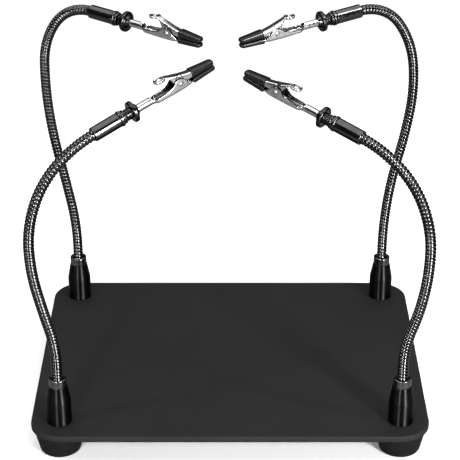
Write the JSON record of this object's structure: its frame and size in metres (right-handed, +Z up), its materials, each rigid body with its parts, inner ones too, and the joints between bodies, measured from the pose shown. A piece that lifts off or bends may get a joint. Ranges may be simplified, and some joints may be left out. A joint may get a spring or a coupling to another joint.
{
  "type": "helping hands clamp",
  "caption": "Bench holder for soldering: a weighted plate with posts carrying flexible necks, each ending in a swivelling spring clip with soft jaw sleeves.",
  "frame": {"origin": "on the bench, under the middle of the base plate", "axes": "+X to the right along the plate's long side, +Y to the back, +Z up"},
  "size_m": [0.2558, 0.2, 0.2445],
  "materials": {
    "plate_paint": "satin dark grey powder coat, very fine texture",
    "foot_rubber": "moulded black rubber, matt",
    "steel_hardware": "zinc plated",
    "post_black": "turned, gloss black anodised",
    "collar_metal": "turned, dark grey anodised",
    "neck_nickel": "wound strip, black nickel plated",
    "handle_black": "turned, gloss black anodised",
    "swivel_black": "turned, black, bright lines in the grooves",
    "clip_chrome": "pressed sheet steel, bright nickel plated",
    "spring_steel": "drawn spring wire",
    "sleeve_vinyl": "dipped soft vinyl, glossy black"
  },
  "bodies": {
    "base": {"base_plate": "plate_paint", "rubber_feet": "foot_rubber", "foot_washers": "steel_hardware", "foot_screws": "steel_hardware", "posts": "post_black", "post_collars": "collar_metal", "neck_roots": "neck_nickel"},
    "front_left_low": {"front_left_neck_lower": "neck_nickel"},
    "front_left_mid": {"front_left_neck_middle": "neck_nickel"},
    "front_left_high": {"front_left_neck_upper": "neck_nickel"},
    "front_left_hand": {"front_left_neck_top": "neck_nickel", "front_left_handle": "handle_black"},
    "front_left_clip": {"front_left_swivel": "swivel_black", "front_left_clip_body": "clip_chrome", "front_left_rivet": "clip_chrome", "front_left_spring": "spring_steel", "front_left_lower_sleeve": "sleeve_vinyl"},
    "front_left_jaw": {"front_left_clip_lever": "clip_chrome", "front_left_upper_sleeve": "sleeve_vinyl"},
    "front_right_low": {"front_right_neck_lower": "neck_nickel"},
    "front_right_mid": {"front_right_neck_middle": "neck_nickel"},
    "front_right_high": {"front_right_neck_upper": "neck_nickel"},
    "front_right_hand": {"front_right_neck_top": "neck_nickel", "front_right_handle": "handle_black"},
    "front_right_clip": {"front_right_swivel": "swivel_black", "front_right_clip_body": "clip_chrome", "front_right_rivet": "clip_chrome", "front_right_spring": "spring_steel", "front_right_lower_sleeve": "sleeve_vinyl"},
    "front_right_jaw": {"front_right_clip_lever": "clip_chrome", "front_right_upper_sleeve": "sleeve_vinyl"},
    "rear_left_low": {"rear_left_neck_lower": "neck_nickel"},
    "rear_left_mid": {"rear_left_neck_middle": "neck_nickel"},
    "rear_left_high": {"rear_left_neck_upper": "neck_nickel"},
    "rear_left_hand": {"rear_left_neck_top": "neck_nickel", "rear_left_handle": "handle_black"},
    "rear_left_clip": {"rear_left_swivel": "swivel_black", "rear_left_clip_body": "clip_chrome", "rear_left_rivet": "clip_chrome", "rear_left_spring": "spring_steel", "rear_left_lower_sleeve": "sleeve_vinyl"},
    "rear_left_jaw": {"rear_left_clip_lever": "clip_chrome", "rear_left_upper_sleeve": "sleeve_vinyl"},
    "rear_right_low": {"rear_right_neck_lower": "neck_nickel"},
    "rear_right_mid": {"rear_right_neck_middle": "neck_nickel"},
    "rear_right_high": {"rear_right_neck_upper": "neck_nickel"},
    "rear_right_hand": {"rear_right_neck_top": "neck_nickel", "rear_right_handle": "handle_black"},
    "rear_right_clip": {"rear_right_swivel": "swivel_black", "rear_right_clip_body": "clip_chrome", "rear_right_rivet": "clip_chrome", "rear_right_spring": "spring_steel", "rear_right_lower_sleeve": "sleeve_vinyl"},
    "rear_right_jaw": {"rear_right_clip_lever": "clip_chrome", "rear_right_upper_sleeve": "sleeve_vinyl"}
  },
  "joints": [
    {"name": "front_left_base_sway", "type": "hinge", "parent": "base", "child": "front_left_low", "pos_m": [-0.107, -0.081, 0.0595], "axis": [-0.8572, -0.515, 0], "range_deg": [-18, 18]},
    {"name": "front_left_low_bend", "type": "hinge", "parent": "front_left_low", "child": "front_left_mid", "pos_m": [-0.11016, -0.0829, 0.08751], "axis": [-0.515, 0.8572, 0], "range_deg": [-30, 4]},
    {"name": "front_left_high_sway", "type": "hinge", "parent": "front_left_mid", "child": "front_left_high", "pos_m": [-0.11889, -0.08814, 0.14311], "axis": [-0.8569, -0.5149, -0.0262], "range_deg": [-20, 20]},
    {"name": "front_left_top_bend", "type": "hinge", "parent": "front_left_high", "child": "front_left_hand", "pos_m": [-0.10129, -0.07757, 0.194], "axis": [-0.515, 0.8572, 0], "range_deg": [-28, 24]},
    {"name": "front_left_clip_swivel", "type": "hinge", "parent": "front_left_hand", "child": "front_left_clip", "pos_m": [-0.05767, -0.05136, 0.21733], "axis": [0.8105, 0.487, 0.3256], "continuous": true},
    {"name": "front_left_lever_squeeze", "type": "hinge", "parent": "front_left_clip", "child": "front_left_jaw", "pos_m": [-0.03096, -0.03531, 0.22975], "axis": [0.515, -0.8572, 0], "range_deg": [0, 22], "stiffness_Nm_per_rad": 0.02, "springref_deg": -68.75, "deforming": ["front_left_spring"]},
    {"name": "front_right_base_sway", "type": "hinge", "parent": "base", "child": "front_right_low", "pos_m": [0.107, -0.081, 0.0595], "axis": [0.8241, -0.5664, 0], "range_deg": [-18, 18]},
    {"name": "front_right_low_bend", "type": "hinge", "parent": "front_right_low", "child": "front_right_mid", "pos_m": [0.11084, -0.08364, 0.08732], "axis": [-0.5664, -0.8241, 0], "range_deg": [-30, 4]},
    {"name": "front_right_high_sway", "type": "hinge", "parent": "front_right_mid", "child": "front_right_high", "pos_m": [0.11861, -0.08898, 0.14292], "axis": [0.8241, -0.5664, 0.0087], "range_deg": [-20, 20]},
    {"name": "front_right_top_bend", "type": "hinge", "parent": "front_right_high", "child": "front_right_hand", "pos_m": [0.09905, -0.07554, 0.19216], "axis": [-0.5664, -0.8241, 0], "range_deg": [-28, 24]},
    {"name": "front_right_clip_swivel", "type": "hinge", "parent": "front_right_hand", "child": "front_right_clip", "pos_m": [0.05568, -0.04573, 0.21132], "axis": [-0.7979, 0.5484, 0.2504], "continuous": true},
    {"name": "front_right_lever_squeeze", "type": "hinge", "parent": "front_right_clip", "child": "front_right_jaw", "pos_m": [0.02929, -0.02759, 0.22126], "axis": [0.5664, 0.8241, 0], "range_deg": [0, 22], "stiffness_Nm_per_rad": 0.02, "springref_deg": -68.75, "deforming": ["front_right_spring"]},
    {"name": "rear_left_base_sway", "type": "hinge", "parent": "base", "child": "rear_left_low", "pos_m": [-0.107, 0.081, 0.0595], "axis": [-0.8387, 0.5446, 0], "range_deg": [-18, 18]},
    {"name": "rear_left_low_bend", "type": "hinge", "parent": "rear_left_low", "child": "rear_left_mid", "pos_m": [-0.11045, 0.08324, 0.093], "axis": [0.5446, 0.8387, 0], "range_deg": [-30, 4]},
    {"name": "rear_left_high_sway", "type": "hinge", "parent": "rear_left_mid", "child": "rear_left_high", "pos_m": [-0.12357, 0.09176, 0.15877], "axis": [-0.8315, 0.54, -0.1305], "range_deg": [-20, 20]},
    {"name": "rear_left_top_bend", "type": "hinge", "parent": "rear_left_high", "child": "rear_left_hand", "pos_m": [-0.11516, 0.0863, 0.22367], "axis": [0.5446, 0.8387, 0], "range_deg": [-28, 24]},
    {"name": "rear_left_clip_swivel", "type": "hinge", "parent": "rear_left_hand", "child": "rear_left_clip", "pos_m": [-0.06665, 0.0548, 0.23546], "axis": [0.8375, -0.5439, -0.0523], "continuous": true},
    {"name": "rear_left_lever_squeeze", "type": "hinge", "parent": "rear_left_clip", "child": "rear_left_jaw", "pos_m": [-0.03853, 0.03653, 0.2353], "axis": [-0.5446, -0.8387, 0], "range_deg": [0, 22], "stiffness_Nm_per_rad": 0.02, "springref_deg": -68.75, "deforming": ["rear_left_spring"]},
    {"name": "rear_right_base_sway", "type": "hinge", "parent": "base", "child": "rear_right_low", "pos_m": [0.107, 0.081, 0.0595], "axis": [0.9135, 0.4067, 0], "range_deg": [-18, 18]},
    {"name": "rear_right_low_bend", "type": "hinge", "parent": "rear_right_low", "child": "rear_right_mid", "pos_m": [0.10915, 0.08196, 0.09322], "axis": [0.4067, -0.9135, 0], "range_deg": [-30, 4]},
    {"name": "rear_right_high_sway", "type": "hinge", "parent": "rear_right_mid", "child": "rear_right_high", "pos_m": [0.12239, 0.08785, 0.15927], "axis": [0.901, 0.4012, -0.165], "range_deg": [-20, 20]},
    {"name": "rear_right_top_bend", "type": "hinge", "parent": "rear_right_high", "child": "rear_right_hand", "pos_m": [0.11174, 0.08311, 0.22406], "axis": [0.4067, -0.9135, 0], "range_deg": [-28, 24]},
    {"name": "rear_right_clip_swivel", "type": "hinge", "parent": "rear_right_hand", "child": "rear_right_clip", "pos_m": [0.05917, 0.0597, 0.23376], "axis": [-0.9077, -0.4041, -0.1132], "continuous": true},
    {"name": "rear_right_lever_squeeze", "type": "hinge", "parent": "rear_right_clip", "child": "rear_right_jaw", "pos_m": [0.02859, 0.04609, 0.23156], "axis": [-0.4067, 0.9135, 0], "range_deg": [0, 22], "stiffness_Nm_per_rad": 0.02, "springref_deg": -68.75, "deforming": ["rear_right_spring"]}
  ]
}
